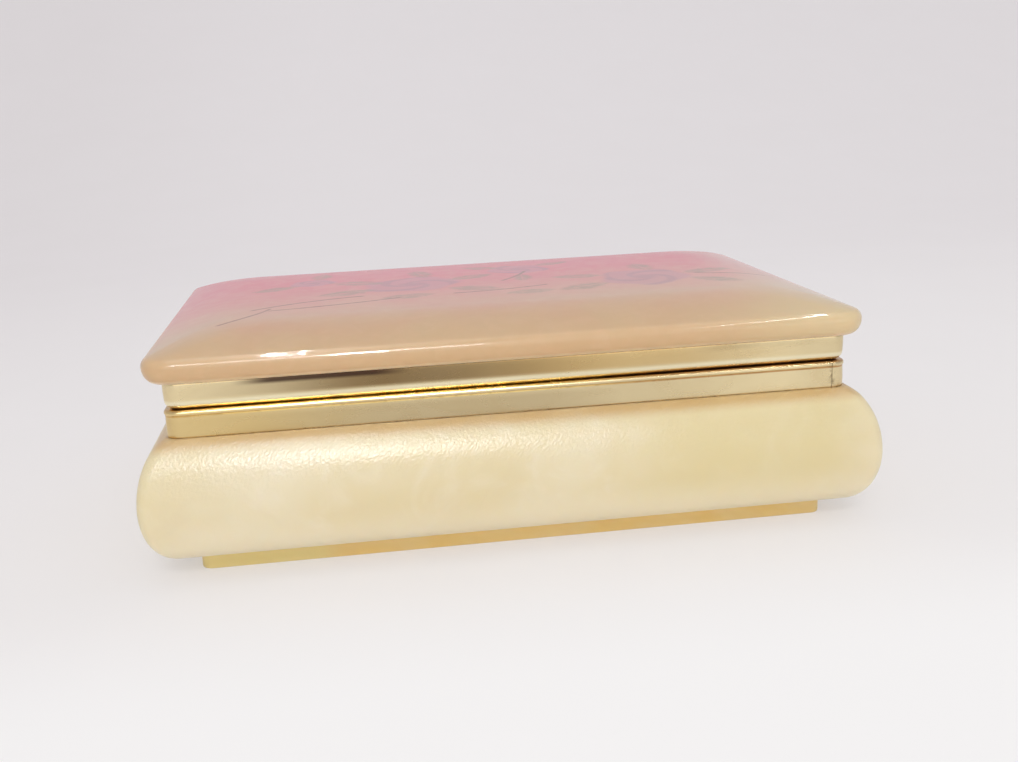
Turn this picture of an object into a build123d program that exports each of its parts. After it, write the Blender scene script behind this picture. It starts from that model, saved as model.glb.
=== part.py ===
from build123d import *
import math
import os

os.makedirs("parts", exist_ok=True)

# Frame: the brass rectangle that every other outline is measured from
frame_length = 144.0
frame_depth = 93.0
frame_corner = 3.0
strip = 0.7
flange_width = 6.0
bend_radius = 1.3
bead_radius = 0.65
bead_proud = 0.2
seam_gap = 0.12

# Heights: the split is where the two frames meet
split_height = 35.7
frame_height = 5.8
plinth_height = 4.7
widest_height = 16.2
floor_thickness = 5.3
rim_height = 5.5
recess_rise = 1.9

# Bowl and plinth outlines
bulge = 6.5
roll_out = 4.2
roll_rise = 2.6
foot_out = 0.9
ledge = 0.5
shoulder_width = 1.8
shoulder_drop = 1.0
shoulder_radius = 4.0
bowl_corner = 2.3
cavity_corner = 7.0
cavity_fillet = 3.0
plinth_inset = 3.7
plinth_corner = 2.4

# Lid outline
lid_overhang = 3.6
lid_corner = 6.1
under_roll = 3.0
upper_roll = 2.2
upper_turn = math.radians(68)
bevel_width = 19.5
bevel_rise = 3.7
bevel_steps = 7
crown_width = 14.0
crown_rise = 0.2

# Hinges
hinge_inset = 30.0
hinge_length = 22.0
knuckle_count = 5
knuckle_radius = 1.5
pin_radius = 0.7
head_radius = 1.15
head_height = 0.5
leaf_thickness = 0.6
leaf_margin = 0.8
lip_gap = 0.2
stop_angle = 105.5

# Clearances
glue_line = 0.05
seating_gap = 0.05
running_gap = 0.05
knuckle_gap = 0.12
barrel_gap = 0.1

# Derived places
body_frame_foot = split_height - frame_height
lid_frame_top = split_height + frame_height
rim_top = lid_frame_top + rim_height
floor_height = plinth_height + floor_thickness
recess_roof = lid_frame_top + recess_rise
hinge_station = frame_length / 2 - hinge_inset
leaf_reach = frame_height - leaf_margin
neck_inset = strip + glue_line
body_frame_top = split_height - seating_gap / 2
lid_frame_foot = split_height + seating_gap / 2
hinge_y = frame_depth / 2 + bead_proud + barrel_gap + knuckle_radius
knuckle_pitch = hinge_length / knuckle_count


def outline(grow, corner, height):
    """Rounded rectangle grown from the frame's outline, lying at a height."""
    width = frame_length + 2 * grow
    depth = frame_depth + 2 * grow
    return Plane.XY.offset(height) * RectangleRounded(width, depth, corner)


def slab(grow, corner, low, high):
    return extrude(outline(grow, corner, low), high - low)


def cavity(low, high):
    return slab(-flange_width, cavity_corner, low, high)


def bombe_section(half):
    """The bowl's section: rolled under, bulging, then a sloping shoulder up to the ledge."""
    widest = (half + bulge, widest_height)
    roll = (half + roll_out, plinth_height + roll_rise)
    foot = (half + foot_out, plinth_height)
    edge = (half + ledge + shoulder_width, body_frame_foot - shoulder_drop)
    top = (half + ledge, body_frame_foot)
    over = TangentArc(widest, edge, tangent=(0, 1))
    under = TangentArc(widest, roll, tangent=(0, -1))
    rolled = TangentArc(roll, foot, tangent=under % 1)
    inner = Polyline(edge, top, (0, body_frame_foot), (0, plinth_height), foot)
    right = make_face([over.edge(), under.edge(), rolled.edge()] + list(inner.edges()))
    right = fillet(right.vertices().sort_by_distance(edge)[0], shoulder_radius)
    return right + mirror(right, Plane.YZ)


def bombe_bowl():
    """The same section run both ways and crossed, with its four mitres rounded."""
    along = extrude(Plane.YZ * bombe_section(frame_depth / 2), frame_length, both=True)
    across = extrude(Plane.XZ * bombe_section(frame_length / 2), frame_depth, both=True)
    crossed = along & across
    mitres = crossed.edges().filter_by(Axis.X, reverse=True).filter_by(Axis.Y, reverse=True)
    return fillet(mitres, bowl_corner)


def rim():
    """The lid's edge, rolled round above and below."""
    block = slab(lid_overhang, lid_corner, lid_frame_top, rim_top)
    block = fillet(block.faces().sort_by(Axis.Z)[-1].edges(), upper_roll)
    return fillet(block.faces().sort_by(Axis.Z)[0].edges(), under_roll)


def bevels():
    """Four bevels with mitred hips, each a fan of flats that eases into the crown."""
    tucked = upper_roll * (1 - math.cos(upper_turn))
    foot = rim_top - upper_roll * (1 - math.sin(upper_turn))
    sections = []
    for step in range(bevel_steps + 1):
        along = step / bevel_steps
        grow = lid_overhang - tucked - bevel_width * along
        rise = bevel_rise * (1 - (1 - along) ** 2)
        sections.append(outline(grow, lid_corner - tucked, foot + rise))
    crown = outline(grow - crown_width, lid_corner - tucked, foot + bevel_rise + crown_rise)
    return loft(sections + [crown], ruled=True)


def stone_body():
    neck = slab(-neck_inset, frame_corner - neck_inset, body_frame_foot - 2, body_frame_top - strip)
    hollow = cavity(floor_height, split_height)
    hollow = fillet(hollow.faces().sort_by(Axis.Z)[0].edges(), cavity_fillet)
    return bombe_bowl() + neck - hollow


def base_plinth():
    block = slab(-plinth_inset, plinth_corner, 0, plinth_height)
    return chamfer(block.faces().sort_by(Axis.Z)[0].edges(), 0.3)


def folded_strip(low, high, flange_low):
    """Strip folded into an L in section: an outer wall and a flange going inwards."""
    wall = slab(0, frame_corner, low, high) - slab(-strip, frame_corner - strip, low, high)
    flange = slab(0, frame_corner, flange_low, flange_low + strip) - cavity(low, high)
    return wall + flange


def body_frame():
    """Lower frame: the fold is rolled into a proud bead, with a butt seam at one corner."""
    ring = folded_strip(body_frame_foot, body_frame_top, body_frame_top - strip)
    ring = fillet(ring.faces().sort_by(Axis.Z)[-1].outer_wire().edges(), bead_radius * 0.9)
    inset = bead_radius - bead_proud
    path = outline(-inset, frame_corner - inset, body_frame_top - bead_radius).wire()
    bead = sweep(Plane(origin=path @ 0, z_dir=path % 0) * Circle(bead_radius), path=path)
    bead -= slab(-strip, frame_corner - strip, body_frame_foot, body_frame_top - strip)
    seam_x = frame_length / 2 - frame_corner - 0.4
    seam = Pos(seam_x, -frame_depth / 2, split_height) * Box(seam_gap, 4 * flange_width, 3 * frame_height)
    return ring + bead - seam


def lid_frame():
    """Upper frame: the fold turns in at the bottom with a plain bend."""
    ring = folded_strip(lid_frame_foot, lid_frame_top, lid_frame_foot)
    return fillet(ring.faces().sort_by(Axis.Z)[0].outer_wire().edges(), bend_radius)


def lid_slab():
    collar_foot = lid_frame_foot + strip
    collar = slab(-neck_inset, frame_corner - neck_inset, collar_foot, lid_frame_top + 1)
    return rim() + bevels() + collar - cavity(split_height, recess_roof)


def hinge_plane(place):
    """Plane across the hinge line: its own x is the depth and its own y the height."""
    return Plane(origin=(place, hinge_y, split_height), x_dir=(0, 1, 0), z_dir=(1, 0, 0))


def barrel(low, high, radius):
    return extrude(hinge_plane(low) * Circle(radius), high - low)


def plate(low, high, foot, top):
    middle = Pos((low + high) / 2, (frame_depth + leaf_thickness) / 2, (foot + top) / 2)
    return middle * Box(high - low, leaf_thickness, top - foot)


def stop_lip(low, high, side):
    """Lip bent out past the barrel: the two leaves' lips meet when the lid is fully open."""
    near = knuckle_radius + lip_gap
    far = near + leaf_thickness
    slope = math.tan(math.radians(stop_angle / 2))
    wall = frame_depth / 2 - hinge_y
    corners = [(wall, near), (near / slope, near), (far / slope, far), (wall, far)]
    face = make_face(Polyline(*[(across, side * up) for across, up in corners], close=True))
    return extrude(hinge_plane(low) * face, high - low, dir=(1, 0, 0))


def hinge_leaf(station, first, side):
    """Leaf on the back wall with every second knuckle, side -1 below the split and 1 above."""
    near = split_height + side * seating_gap / 2
    cleared = split_height + side * (knuckle_radius + barrel_gap)
    far = split_height + side * leaf_reach
    start = station - hinge_length / 2
    end = start + hinge_length
    leaf = plate(start, end, min(cleared, far), max(cleared, far)) + stop_lip(start, end, side)
    for place in range(first, knuckle_count, 2):
        low = start + place * knuckle_pitch
        high = low + knuckle_pitch
        if place > 0:
            low += knuckle_gap / 2
        if place < knuckle_count - 1:
            high -= knuckle_gap / 2
        leaf += plate(low, high, min(near, cleared), max(near, cleared))
        leaf += barrel(low, high, knuckle_radius)
    return leaf - barrel(start - 1, end + 1, pin_radius + running_gap)


def hinge_pin(station):
    low = station - hinge_length / 2
    high = station + hinge_length / 2
    pin = barrel(low - head_height, high + head_height, pin_radius)
    pin += barrel(low - head_height, low, head_radius)
    return pin + barrel(high, high + head_height, head_radius)


parts = {
    "stone_body": stone_body(),
    "base_plinth": base_plinth(),
    "body_frame": body_frame(),
    "lid_slab": lid_slab(),
    "lid_frame": lid_frame(),
}
for side_name, station in (("left", -hinge_station), ("right", hinge_station)):
    body_leaf = hinge_leaf(station, 0, -1) - parts["body_frame"]
    parts["body_hinge_leaf_" + side_name] = body_leaf
    parts["lid_hinge_leaf_" + side_name] = hinge_leaf(station, 1, 1)
    parts["hinge_pin_" + side_name] = hinge_pin(station)

for name, shape in parts.items():
    export_step(shape, "parts/" + name + ".step")
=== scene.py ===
import math

import bmesh
import bpy
from mathutils import Matrix, Vector


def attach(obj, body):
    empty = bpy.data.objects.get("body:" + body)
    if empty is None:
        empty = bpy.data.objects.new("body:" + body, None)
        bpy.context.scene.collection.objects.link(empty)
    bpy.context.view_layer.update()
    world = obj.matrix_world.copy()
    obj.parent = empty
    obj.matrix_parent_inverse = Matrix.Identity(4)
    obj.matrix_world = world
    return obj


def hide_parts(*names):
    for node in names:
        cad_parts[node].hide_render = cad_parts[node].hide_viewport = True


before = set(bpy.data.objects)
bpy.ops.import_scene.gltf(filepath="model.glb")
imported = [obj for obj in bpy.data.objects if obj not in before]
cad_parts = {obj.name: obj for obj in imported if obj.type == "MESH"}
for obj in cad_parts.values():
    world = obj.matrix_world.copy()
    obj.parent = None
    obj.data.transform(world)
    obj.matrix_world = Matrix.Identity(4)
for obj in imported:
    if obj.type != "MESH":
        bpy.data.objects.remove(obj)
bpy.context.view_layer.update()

# Bowl. A block of cream alabaster, sawn square, then ground to bulging sides with softened
# corners and milled out from above. It is waxed, not lacquered, so its shoulder shows the
# fine sugary grain of the stone where light rakes over it.


def open_mesh(name):
    """A new empty piece, left in edit mode."""
    bpy.ops.object.select_all(action="DESELECT")
    mesh = bpy.data.meshes.new(name)
    piece = bpy.data.objects.new(name, mesh)
    bpy.context.collection.objects.link(piece)
    bpy.context.view_layer.objects.active = piece
    piece.select_set(True)
    bpy.ops.object.mode_set(mode="EDIT")
    return piece


def choose(piece, first, last):
    """Selects the edges whose two ends both lie in one of two runs of points."""
    mesh = bmesh.from_edit_mesh(piece.data)
    bpy.ops.mesh.select_all(action="DESELECT")
    for edge in mesh.edges:
        ends = [point.index for point in edge.verts]
        if all(end in first for end in ends) or all(end in last for end in ends):
            edge.select_set(True)
    bmesh.update_edit_mesh(piece.data)


def add_ring(half_x, half_y, corner, height, steps):
    """Adds one rounded rectangle of edges, in millimetres, lying flat at a height."""
    bpy.ops.mesh.select_all(action="DESELECT")
    bpy.ops.mesh.primitive_plane_add(size=0.002, location=(0, 0, height / 1000))
    bpy.ops.transform.resize(value=(half_x, half_y, 1))
    bpy.ops.mesh.bevel(offset=corner / 1000, segments=steps, affect="VERTICES")
    bpy.ops.mesh.delete(type="ONLY_FACE")


def build_up(name, rings, steps=8, closed=False):
    """Bridges a row of rings into one skin; its ends are filled, or joined to each other.
    The rings stand 50 mm apart while they are bridged: a bridge twists rings that lie level."""
    piece = open_mesh(name)
    bpy.ops.mesh.select_mode(type="EDGE")
    for place, ring in enumerate(rings):
        add_ring(*ring[:3], 50 * place, steps)
    count = 4 * (steps + 1)
    runs = [range(count * place, count * (place + 1)) for place in range(len(rings))]
    for lower, upper in zip(runs, runs[1:]):
        choose(piece, lower, upper)
        bpy.ops.mesh.bridge_edge_loops()
    if closed:
        choose(piece, runs[-1], runs[0])
        bpy.ops.mesh.bridge_edge_loops()
    else:
        for run in (runs[0], runs[-1]):
            choose(piece, run, run)
            bpy.ops.mesh.edge_face_add()
    mesh = bmesh.from_edit_mesh(piece.data)
    mesh.verts.ensure_lookup_table()
    for run, ring in zip(runs, rings):
        for place in run:
            mesh.verts[place].co.z = ring[3] / 1000
    bmesh.update_edit_mesh(piece.data)
    bpy.ops.mesh.select_all(action="SELECT")
    bpy.ops.mesh.normals_make_consistent(inside=False)
    bpy.ops.object.mode_set(mode="OBJECT")
    return piece


def smooth(piece, degrees=40):
    """Shades a piece smooth wherever its faces meet at less than an angle."""
    bpy.ops.object.select_all(action="DESELECT")
    piece.select_set(True)
    bpy.context.view_layer.objects.active = piece
    bpy.ops.object.shade_smooth_by_angle(angle=math.radians(degrees))


def around(grow, corner, height):
    """Ring grown from the brass frames' outline of 144 by 93 mm."""
    half_length, half_depth = 72, 46.5
    return (half_length + grow, half_depth + grow, corner, height)


def colour(red, green, blue):
    """A colour read off as 0 to 255, as linear light."""
    parts = [c / 255 for c in (red, green, blue)]
    return [c / 12.92 if c < 0.04045 else ((c + 0.055) / 1.055) ** 2.4 for c in parts] + [1]


class Value:
    """A number that varies over a surface: Python arithmetic on it adds Math nodes."""

    def __init__(self, finish, socket):
        self.finish = finish
        self.socket = socket

    def math(self, operation, *values):
        return self.finish.node("ShaderNodeMath", {"operation": operation}, dict(enumerate(values)))

    def __add__(self, other):
        return self.math("ADD", self, other)

    def __radd__(self, other):
        return self.math("ADD", other, self)

    def __sub__(self, other):
        return self.math("SUBTRACT", self, other)

    def __rsub__(self, other):
        return self.math("SUBTRACT", other, self)

    def __mul__(self, other):
        return self.math("MULTIPLY", self, other)

    def __rmul__(self, other):
        return self.math("MULTIPLY", other, self)

    def __truediv__(self, other):
        return self.math("DIVIDE", self, other)

    def __pow__(self, other):
        return self.math("POWER", self, other)

    def __abs__(self):
        return self.math("ABSOLUTE", self)

    def sine(self):
        return self.math("SINE", self)

    def most(self, other):
        return self.math("MAXIMUM", self, other)

    def rise(self, start, end):
        """0 below start, 1 above end and smooth between; start may be the larger one."""
        settings = {"interpolation_type": "SMOOTHSTEP"}
        sockets = {"Value": self, "From Min": start, "From Max": end}
        return self.finish.node("ShaderNodeMapRange", settings, sockets)


class Finish:
    """A surface finish: one material, its shader and the nodes that feed it."""

    def __init__(self, name, **constants):
        self.material = bpy.data.materials.new(name)
        self.material.use_nodes = True
        self.tree = self.material.node_tree
        self.shader = self.tree.nodes["Principled BSDF"]
        for socket, value in constants.items():
            self.shader.inputs[socket.replace("_", " ")].default_value = value
        self.place = self.node("ShaderNodeTexCoord", {}, {}, "Object")

    def node(self, kind, settings, sockets, output=0):
        """Adds a node: its settings first, then the values or links of its sockets."""
        made = self.tree.nodes.new(kind)
        for setting, value in settings.items():
            setattr(made, setting, value)
        for socket, value in sockets.items():
            if isinstance(value, Value):
                self.tree.links.new(value.socket, made.inputs[socket])
            else:
                made.inputs[socket].default_value = value
        return Value(self, made.outputs[output])

    def axes(self, centre=(0, 0, 0), turn=0, size=(1, 1, 1)):
        """Across, along and up from a centre, in millimetres or in shares of a size."""
        spread = [value / 1000 for value in size]
        settings = {"vector_type": "TEXTURE"}
        middle = [value / 1000 for value in centre]
        turned = (0, 0, math.radians(turn))
        sockets = {"Vector": self.place, "Location": middle, "Rotation": turned, "Scale": spread}
        local = self.node("ShaderNodeMapping", settings, sockets)
        return [self.node("ShaderNodeSeparateXYZ", {}, {0: local}, part) for part in range(3)]

    def noise(self, size, detail=2.0, warp=0.0, stretch=(1, 1, 1), lean=0):
        """Cloudy grain from 0 to 1 whose lumps are about size millimetres across."""
        drawing = [1 / value for value in stretch]
        leaning = (0, math.radians(lean), 0)
        sockets = {"Vector": self.place, "Rotation": leaning, "Scale": drawing}
        drawn = self.node("ShaderNodeMapping", {"vector_type": "TEXTURE"}, sockets)
        sockets = {"Vector": drawn, "Scale": 1000 / size, "Detail": detail, "Distortion": warp}
        return self.node("ShaderNodeTexNoise", {}, sockets)

    def mix(self, share, low, high):
        """A colour between low and high, by a share from 0 to 1."""
        settings = {"data_type": "RGBA"}
        return self.node("ShaderNodeMix", settings, {0: share, 6: low, 7: high}, 2)

    def relief(self, height, depth, strength=1.0):
        """Surface relief, depth in millimetres for a height from 0 to 1."""
        sockets = {"Height": height, "Distance": depth / 1000, "Strength": strength}
        return self.node("ShaderNodeBump", {}, sockets)

    def feed(self, **sockets):
        """Links values to the shader's sockets, written with _ for a space."""
        for socket, value in sockets.items():
            self.tree.links.new(value.socket, self.shader.inputs[socket.replace("_", " ")])

    def cover(self, *pieces):
        """Gives the pieces this finish and no other."""
        for piece in pieces:
            piece.data.materials.clear()
            piece.data.materials.append(self.material)


bulge, widest_height = 6.5, 16.2
bowl_rings = []
for step in range(11):
    turn = math.radians(-82 + 8.2 * step)
    grow = bulge - 6.505 * (1 - math.cos(turn))
    bowl_rings.append(around(grow, 2.3, widest_height + 11.613 * math.sin(turn)))
for step in range(1, 11):
    turn = math.radians(5.6 * step)
    grow = bulge - 8.54 * (1 - math.cos(turn))
    bowl_rings.append(around(grow, 2.4, widest_height + 14.52 * math.sin(turn)))
bowl_rings += [around(2.15, 2.5, 28.78), around(1.7, 2.6, 29.12), around(0.8, 2.8, 29.7)]
bowl_rings += [around(0.5, 2.9, 29.83), around(0.3, 2.9, 29.88), around(0, 2.9, 29.89)]
bowl_rings += [around(-0.75, 2.25, 29.89), around(-0.75, 2.25, 34.97), around(-5.7, 6.8, 34.97)]
bowl_rings += [around(-6, 7, 34.7)]
for step in range(7):
    turn = math.radians(15 * step)
    inwards = 3 * (1 - math.cos(turn))
    bowl_rings.append(around(-6 - inwards, 7 - inwards, 13 - 3 * math.sin(turn)))
bowl = build_up("bowl", bowl_rings)
smooth(bowl)

alabaster = Finish(
    "waxed cream alabaster",
    IOR=1.5,
    Subsurface_Weight=0.35,
    Subsurface_Radius=(1.0, 0.8, 0.5),
    Subsurface_Scale=0.006,
)
clouds = alabaster.noise(34, 3, 0.6, (1, 1, 1.6)).rise(0.35, 0.7)
veils = alabaster.noise(11, 4, 1.2).rise(0.45, 0.75)
threads = abs(alabaster.noise(45, 5, 0.8) - 0.5).rise(0.03, 0.0)
along, _, height = alabaster.axes()
# Darker and more golden from 27 mm up, just under the frame.
neck_gold = height.rise(27.0, 29.5) * (0.6 + 0.4 * alabaster.noise(9, 2))
stone = alabaster.mix(clouds, colour(229, 214, 172), colour(234, 222, 188))
stone = alabaster.mix(veils * 0.35, stone, colour(242, 233, 210))
stone = alabaster.mix(threads * 0.08, stone, colour(218, 200, 158))
stone = alabaster.mix(along.rise(5, 45) * along.rise(80, 62) * 0.6, stone, colour(224, 208, 152))
# Painted light: paler towards the bottom, as if lit from the floor below.
stone = alabaster.mix(height.rise(15, 6) * 0.6, stone, colour(248, 238, 210))
stone = alabaster.mix(neck_gold * 0.9, stone, colour(208, 170, 114))
peel = height.rise(17, 23)
grain = alabaster.noise(0.5, 2, 0.3, (1, 1, 0.6), 42) * (0.1 + 0.9 * peel)
polish = 0.38 - 0.1 * peel
alabaster.feed(Base_Color=stone, Roughness=polish, Normal=alabaster.relief(grain, 0.11, 1.0))
alabaster.cover(bowl)
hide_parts("stone_body")
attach(bowl, "body")

# Plinth. A flat slab sawn from the same stone, glued under the bowl with its edges set in from
# the bowl's sides and its lower arris just broken.
plinth_rings = [
    around(-4.0, 2.1, 0),
    around(-3.8, 2.3, 0.08),
    around(-3.7, 2.4, 0.35),
    around(-3.7, 2.4, 4.45),
    around(-3.85, 2.3, 4.7),
]
plinth = build_up("plinth", plinth_rings)
smooth(plinth)
honey = Finish(
    "honey alabaster",
    Roughness=0.42,
    IOR=1.5,
    Subsurface_Weight=0.3,
    Subsurface_Radius=(1.0, 0.7, 0.35),
    Subsurface_Scale=0.005,
)
across = honey.axes()[0]
bands = honey.noise(16, 4, 1.5, (0.6, 1, 1.4)).rise(0.3, 0.75)
# Painted light: the deep, bright gold is partly the stone's own and partly the glow of light through the
# stone in the shade under the bowl; paler towards the left end, where more light comes through.
amber = honey.mix(bands, colour(253, 214, 136), colour(254, 220, 154))
amber = honey.mix(across.rise(-38, -44) * 0.7, amber, colour(250, 230, 160))
saw = honey.noise(0.9, 3, 0.3, (0.4, 0.4, 1.5))
honey.feed(Base_Color=amber, Normal=honey.relief(saw, 0.05, 0.6))
honey.cover(plinth)
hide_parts("base_plinth")
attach(plinth, "body")

# Lower frame. Brass strip folded to an angle, its fold rolled into a small proud bead, bent
# round the bowl's neck and glued down, with its two ends butted near the front right corner.
bead_radius, bead_height = 0.65, 35.02
lower_rings = [
    around(-0.02, 2.98, 29.93),
    around(0, 3, 30.0),
    around(0.04, 3, 31.9),
    around(-0.02, 2.98, 34.2),
]
for step in range(9):
    turn = math.radians(-46 + 17 * step)
    out = bead_radius * math.cos(turn)
    lift = bead_radius * math.sin(turn)
    lower_rings.append(around(-0.45 + out, 2.55 + out, bead_height + lift))
lower_rings += [around(-1.2, 2.4, 35.67), around(-3, 4.2, 35.66), around(-5.8, 6.8, 35.65)]
lower_rings += [around(-6, 7, 35.5), around(-6, 7, 35.1), around(-5.9, 6.9, 34.98)]
lower_rings += [around(-0.8, 2.3, 34.98), around(-0.7, 2.3, 34.9), around(-0.7, 2.3, 29.92)]
lower_frame = build_up("lower_frame", lower_rings, closed=True)

# The seam: a slit as wide as a thin blade, cut through the wall and its flange.
seam_place = (0.0686, -0.0465, 0.0328)
blade_size = (0.00012, 0.024, 0.01)
bpy.ops.object.select_all(action="DESELECT")
bpy.ops.mesh.primitive_cube_add(size=1, location=seam_place, scale=blade_size)
blade = bpy.context.object
bpy.context.view_layer.objects.active = lower_frame
lower_frame.modifiers.new("seam", "BOOLEAN").object = blade
bpy.ops.object.modifier_apply(modifier="seam")
bpy.data.objects.remove(blade)
smooth(lower_frame, 30)

brass = Finish("rolled brass", Metallic=1.0, Roughness=0.24)
east, north, level = brass.axes()
lines = brass.noise(0.5, 3, 0.0, (0.02, 0.02, 1.6))
haze = brass.noise(14, 4, 0.8, (1, 1, 2.0)).rise(0.4, 0.75)
tarnish = brass.noise(2.8, 5, 0.9).rise(0.44, 0.7)
foot = level.rise(30.3, 29.95)
groove = abs(level - 35.7).rise(0.5, 0.1).most(abs(level - 34.45).rise(0.28, 0.08))
seam_stain = abs(east - 68.6).rise(1.0, 0.1) * north.rise(-40, -44) * level.rise(35.8, 35.4)
streaks = brass.noise(55, 3, 0.4, (1, 1, 0.3)).rise(0.35, 0.7)
shade = abs(east + 18).rise(60, 6) * level.rise(37.0, 38.4) * (0.8 + 0.2 * streaks)
shade = shade.most(abs(east + 20).rise(70, 20) * level.rise(36, 33) * 0.45)
gold = brass.mix(haze * 0.5, colour(238, 220, 176), colour(224, 202, 154))
gold = brass.mix((streaks * 0.3).most(shade), gold, colour(124, 98, 62))
# Painted reflection in the groove between the frames and the crease under the bead: bright yellow left
# of the middle, dull orange towards the ends.
painted_groove_reflection = brass.mix(abs(east + 24).rise(62, 24), colour(176, 116, 44), colour(255, 224, 140))
# Painted reflections: a darker golden patch high on the upper frame's wall right of the middle, a
# yellower lower frame towards its left end, and a pale band where the upper wall turns into its bend.
gold = brass.mix(abs(east - 24).rise(44, 4) * level.rise(37.2, 38.4) * 0.5, gold, colour(206, 168, 100))
gold = brass.mix(east.rise(-20, -66) * level.rise(35.6, 35.2) * 0.5, gold, colour(222, 188, 112))
gold = brass.mix(level.rise(37.9, 37.2) * level.rise(35.9, 36.5) * 0.6, gold, colour(252, 244, 212))
gold = brass.mix(groove * 0.65, gold, painted_groove_reflection)
# Painted reflection: a dark streak along the top of the upper frame left of the middle, where the wall
# mirrors the lid's underside, and a fainter brown patch near the top to the right.
painted_top_reflection = abs(east + 40).rise(19, 10) * level.rise(39.8, 40.6)
painted_top_reflection = painted_top_reflection.most(abs(east - 52).rise(16, 4) * level.rise(39.4, 40.6) * 0.4 * streaks)
gold = brass.mix(painted_top_reflection * 0.92, gold, colour(68, 48, 40))
dirt = (foot * (0.35 + 0.3 * tarnish)).most(groove * tarnish * 0.25).most(seam_stain * tarnish * 0.6)
gold = brass.mix(dirt, gold, colour(104, 76, 46))
polish = 0.2 + 0.1 * haze + 0.06 * lines
brass.feed(Base_Color=gold, Roughness=polish, Normal=brass.relief(lines, 0.006, 0.5))
brass.cover(lower_frame)
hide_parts("body_frame")
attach(lower_frame, "body")

# Upper frame. The same brass strip, folded with a plain round bend along its lower edge and
# glued round the lid's collar; its wall is very slightly crowned by the rolling.
upper_rings = [
    around(-0.2, 2.8, 41.49),
    around(-0.06, 2.95, 41.3),
    around(0, 3, 40.9),
    around(0, 3, 39.4),
    around(-0.06, 3, 38.0),
]
for step in range(7):
    turn = math.radians(15 * step)
    out = 1.75 * (1 - math.cos(turn))
    upper_rings.append(around(-0.08 - out, 3 - 0.5 * out, 37.5 - 1.77 * math.sin(turn)))
upper_rings += [around(-3.4, 4.4, 35.74), around(-5.8, 6.8, 35.75), around(-6, 7, 35.9)]
upper_rings += [around(-6, 7, 36.3), around(-5.9, 6.9, 36.42), around(-1.6, 2.2, 36.42)]
upper_rings += [around(-0.9, 2.2, 36.8), around(-0.72, 2.3, 37.5), around(-0.7, 2.3, 41.49)]
upper_frame = build_up("upper_frame", upper_rings, closed=True)
smooth(upper_frame, 30)
brass.cover(upper_frame)
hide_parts("lid_frame")
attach(upper_frame, "lid")

# Lid slab. Alabaster ground to a pillow with a rolled lip and hollowed beneath. Its top is
# washed with dye, pink at the back and tan at the front, then printed with a spray of roses
# and finished with a thick clear lacquer that is a little uneven.
lip, lip_height = 3.59, 44.8
slab_rings = [around(-9, 4, 43.4)]
for step in range(1, 7):
    turn = math.radians(15 * step)
    outwards = 3 * math.sin(turn)
    slab_rings.append(around(-9 + outwards, 4 + outwards, 40.4 + 3 * math.cos(turn)))
slab_rings += [around(-6, 7, 36.7), around(-5.7, 6.8, 36.43)]
slab_rings += [around(-0.75, 2.25, 36.43), around(-0.75, 2.25, 41.5)]
for step in range(8):
    turn = math.radians(-90 + 90 * step / 7)
    tucked = 2.6 * (1 - math.cos(turn))
    slab_rings.append(around(lip - tucked, 6.1 - tucked, lip_height + 3.3 * math.sin(turn)))
for step in range(1, 8):
    turn = math.radians(68 * step / 7)
    tucked = 2.2 * (1 - math.cos(turn))
    slab_rings.append(around(lip - tucked, 6.1 - tucked, lip_height + 2.2 * math.sin(turn)))
for step in range(1, 15):
    along = step / 14
    lift = 3.7 * (1 - (1 - along) ** 2)
    slab_rings.append(around(2.21 - 19.5 * along, 4.7 + 4 * along, 46.84 + lift))
slab_rings += [around(-22, 9, 50.62), around(-27, 9, 50.68)]
slab_rings += [around(-34, 9, 50.72), around(-42, 4, 50.735)]
slab = build_up("lid_slab_stone", slab_rings, 10)
smooth(slab)

tinted = Finish(
    "dyed and lacquered alabaster",
    Roughness=0.32,
    IOR=1.5,
    Subsurface_Weight=0.25,
    Subsurface_Radius=(1.0, 0.6, 0.4),
    Subsurface_Scale=0.004,
    Specular_IOR_Level=0.2,
    Coat_Roughness=0.04,
)
side, depth, up = tinted.axes()
drift = tinted.noise(26, 3, 0.6)
mottle = tinted.noise(5, 4, 1.0).rise(0.35, 0.75)
pink = (depth + 22 * (drift - 0.5)).rise(-52, 22)
edge_fade = abs(side + 8).rise(78, 60)
wash = tinted.mix(side.rise(30, 76) * 0.8, colour(212, 179, 137), colour(224, 206, 162))
wash = tinted.mix(pink * (0.7 + 0.3 * edge_fade), wash, colour(226, 90, 114))
wash = tinted.mix(mottle * 0.15, wash, colour(232, 196, 160))


def rose(centre, radius, turn):
    """A generic open rose: a scalloped disc with petal edges winding in to its heart."""
    x, y, _ = tinted.axes(centre, turn, (radius, radius * 0.9, 1))
    ripple = tinted.noise(3.5, 2, 0.5)
    reach = (x * x + y * y) ** 0.5 + 0.12 * (ripple - 0.5)
    angle = y.math("ARCTAN2", y, x)
    outline = reach + 0.07 * (angle * 5).sine()
    disc = outline.rise(1.02, 0.8)
    petals = (angle * 3 + 11 * reach ** 0.8).sine().rise(0.1, 0.95)
    heart = reach.rise(0.4, 0.1)
    return disc, (petals * 0.75).most(heart * 0.8)


for x, y, radius, turn in ((-18, 2, 12.5, 20), (37, -9, 12.5, 75), (10, 16, 8.5, 140), (-42, 14, 6, 10)):
    disc, folds = rose((x, y, 0), radius, turn)
    wash = tinted.mix(disc * 0.5, wash, colour(190, 118, 138))
    wash = tinted.mix(disc * folds * 0.42, wash, colour(140, 88, 112))

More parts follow.
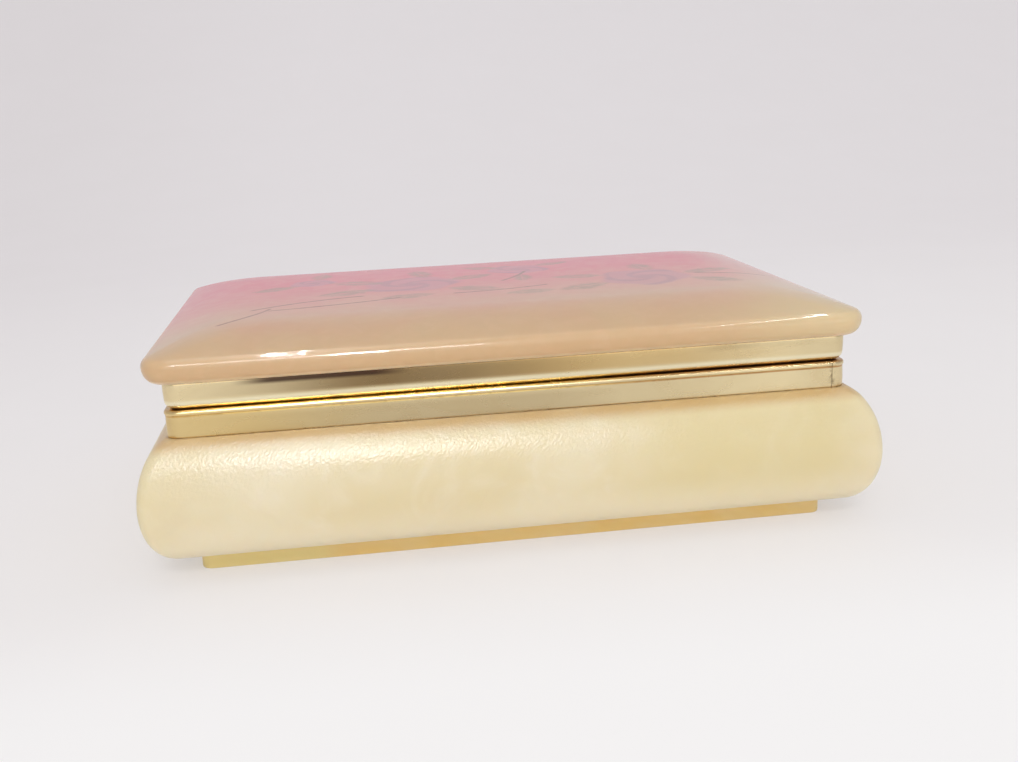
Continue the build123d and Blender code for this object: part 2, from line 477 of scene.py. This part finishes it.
leaves = [
    (-34, -5, 200, 8), (-31, 9, 155, 8), (-4, -10, 330, 8), (-3, 8, 25, 7), (-15, 18, 100, 7),
    (21, -17, 205, 8), (22, -2, 170, 7), (52, -18, 320, 7.5), (54, -4, 20, 8), (40, 7, 95, 7),
    (1, 22, 150, 6), (20, 23, 30, 6), (-51, 8, 200, 6.5), (-40, 24, 80, 6), (9, 2, 265, 6),
    (8, -19, 185, 6.5), (-20, -15, 190, 7),
]
foliage = None
fray = tinted.noise(2.2, 3, 1.0)
for x, y, turn, length in leaves:
    along, aside, _ = tinted.axes((x, y, 0), turn, (length, length * 0.5, 1))
    ragged = (1 - along * along - abs(aside) + 0.7 * (fray - 0.5)).rise(-0.1, 0.55)
    leaf = ragged * (0.55 + 0.45 * abs(aside).rise(0.02, 0.14))
    foliage = leaf if foliage is None else foliage.most(leaf)
patchy = 0.45 + 0.55 * tinted.noise(2.6, 3, 0.6).rise(0.3, 0.65)
wash = tinted.mix(foliage * patchy * 0.62, wash, colour(132, 120, 92))

stems = [
    (-55, -27, 52, 9, 0.16), (-43, -14, 20, 14, -0.12), (-36, -20, 12, 16, 0.08),
    (2, -14, 10, 12, 0.1), (58, -10, -8, 9, 0.15), (8, 5, 60, 8, 0.1),
]
twigs = None
for x, y, turn, length, bow in stems:
    along, aside, _ = tinted.axes((x, y, 0), turn, (length, length, 1))
    line = abs(aside - bow * along * along).rise(0.6 / length, 0.2 / length)
    line = line * abs(along).rise(1.0, 0.9)
    twigs = line if twigs is None else twigs.most(line)
wash = tinted.mix(twigs * (0.3 + 0.7 * patchy), wash, colour(140, 78, 66))

recess = up.rise(44.0, 43.6) * abs(side).rise(71, 70) * abs(depth).rise(46, 45)
bare = up.rise(42.6, 42.0).most(recess)
wash = tinted.mix(bare, wash, colour(230, 206, 172))
swell = tinted.noise(7, 1, 0.0)
lacquer = 0.15 + 0.5 * up.rise(44.4, 45.6)
tinted.feed(Base_Color=wash, Coat_Weight=lacquer, Normal=tinted.relief(swell, 0.15, 0.5))
tinted.cover(slab)
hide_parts("lid_slab")
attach(slab, "lid")

# Hinges. Two small five-knuckle hinges brazed to the backs of the frames, each with a headed
# pin and bent lips that stop the lid just past upright. They are plain satin brass.
hinge_brass = Finish("satin brass", Metallic=1.0, Roughness=0.35)
fleck = hinge_brass.noise(2.2, 4, 0.5).rise(0.35, 0.75)
worn = hinge_brass.mix(fleck * 0.6, colour(206, 176, 118), colour(176, 142, 84))
hinge_brass.feed(Base_Color=worn, Roughness=0.3 + 0.12 * fleck)
for side_name in ("left", "right"):
    for piece_name in ("body_hinge_leaf_", "hinge_pin_", "lid_hinge_leaf_"):
        hinge_brass.cover(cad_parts[piece_name + side_name])

# Set. A seamless sheet of white paper, lit from all round by a pale room, with one broad lamp
# from the upper left and narrow lamps that draw the lines along the lid's lip.
bpy.ops.object.select_all(action="DESELECT")
bpy.ops.mesh.primitive_plane_add(size=1, location=(0, 0, 0))
paper = bpy.context.object
paper.name = "paper"
bpy.ops.object.mode_set(mode="EDIT")
bpy.ops.transform.resize(value=(6, 3.2, 1))
bpy.ops.mesh.select_mode(type="EDGE")
mesh = bmesh.from_edit_mesh(paper.data)
for edge in mesh.edges:
    edge.select_set(all(point.co.y > 0 for point in edge.verts))
bmesh.update_edit_mesh(paper.data)
bpy.ops.mesh.extrude_edges_move(TRANSFORM_OT_translate={"value": (0, 0, 3)})
mesh = bmesh.from_edit_mesh(paper.data)
bpy.ops.mesh.select_all(action="DESELECT")
for edge in mesh.edges:
    edge.select_set(all(point.co.y > 0 and point.co.z < 0.01 for point in edge.verts))
bmesh.update_edit_mesh(paper.data)
bpy.ops.mesh.bevel(offset=1.2, segments=24)
bpy.ops.object.mode_set(mode="OBJECT")
smooth(paper, 60)
sheet_white = Finish("white paper", Roughness=0.9, Specular_IOR_Level=0.1)
fibre = sheet_white.noise(60, 3, 0.3)
sheet_white.feed(Base_Color=sheet_white.mix(fibre, colour(240, 236, 235), colour(244, 240, 240)))
east, north, rising = sheet_white.axes()
# Painted light: to the camera and in reflections the paper partly glows by itself, brightest at the
# front and darker up the backdrop and towards the left.
tone = sheet_white.mix(north.rise(-160, 520), colour(249, 248, 248), colour(239, 235, 238))
tone = sheet_white.mix(rising.rise(0, 1500), tone, colour(212, 206, 211))
tone = sheet_white.mix(east.rise(-20, -320) * 0.4, tone, colour(214, 208, 210))
glow = sheet_white.node("ShaderNodeEmission", {}, {"Color": tone})
seen = sheet_white.node("ShaderNodeLightPath", {}, {}, "Is Camera Ray")
for ray in ("Is Glossy Ray", "Is Transmission Ray"):
    seen = seen.most(sheet_white.node("ShaderNodeLightPath", {}, {}, ray))
lit = Value(sheet_white, sheet_white.shader.outputs[0])
# Painted light: the glow's share rises in front of the box, which pales the real shadow there.
seen = seen * (0.44 + 0.3 * north.rise(-55, -110))
blend = sheet_white.node("ShaderNodeMixShader", {}, {0: seen, 1: lit, 2: glow})
output = sheet_white.tree.nodes["Material Output"]
sheet_white.tree.links.new(blend.socket, output.inputs["Surface"])
sheet_white.cover(paper)


def lamp(name, place, target, width, height, power, gloss_only=False):
    """A flat rectangular lamp that looks at a target, in metres and watts."""
    bpy.ops.object.light_add(type="AREA", location=place)
    made = bpy.context.object
    made.name = name
    made.data.shape = "RECTANGLE"
    made.data.size = width
    made.data.size_y = height
    made.data.energy = power
    made.visible_diffuse = not gloss_only
    reach = Vector(target) - made.location
    made.rotation_euler = reach.to_track_quat("-Z", "Y").to_euler()
    return made


lamp("window", (-0.1, -0.85, 0.66), (0, -0.05, 0.03), 0.4, 0.13, 2.6)
lamp("low fill", (0.1, -1.1, 0.22), (0, 0, 0.02), 1.4, 0.4, 1.5)
lamp("ceiling panel", (0, 0.1, 1.0), (0, 0.11, 0), 0.8, 0.8, 1.0)
lamp("tall strip", (-0.06, -0.79, 0.587), (-0.03, -0.05, 0.03), 0.064, 0.25, 3.0, True)
tube = lamp("ceiling tube", (0.4, -0.25, 0.8), (0.4, -0.15, 0.045), 0.012, 1.1, 1.6, True)
tube.rotation_euler.rotate_axis("Z", math.radians(-4.5))
for across in (-0.132, -0.118, -0.1):
    bar = lamp("ceiling bar", (across, -0.15, 0.8), (across, -0.05, 0.045), 0.002, 0.8, 1.1, True)
    bar.rotation_euler.rotate_axis("Z", math.radians(-1.5))

world = bpy.data.worlds.new("pale room")
bpy.context.scene.world = world
world.use_nodes = True
room = world.node_tree.nodes["Background"].inputs
room["Color"].default_value = (0.96, 0.95, 0.97, 1)
room["Strength"].default_value = 0.63

bpy.ops.object.camera_add(location=(-0.03294, -0.28132, 0.0947))
camera = bpy.context.object
focal_pixels, picture_width = 1174.7, 1018
camera.data.sensor_width = 36
camera.data.lens = focal_pixels / picture_width * 36
yaw, pitch, roll = 0.1319, 0.2399, -0.0441
ahead = (math.sin(yaw) * math.cos(pitch), math.cos(yaw) * math.cos(pitch), -math.sin(pitch))
turned = Vector(ahead).to_track_quat("-Z", "Y").to_matrix()
camera.rotation_euler = (turned @ Matrix.Rotation(roll, 3, "Z")).to_euler()
bpy.context.scene.camera = camera
bpy.context.scene.view_settings.view_transform = "Standard"
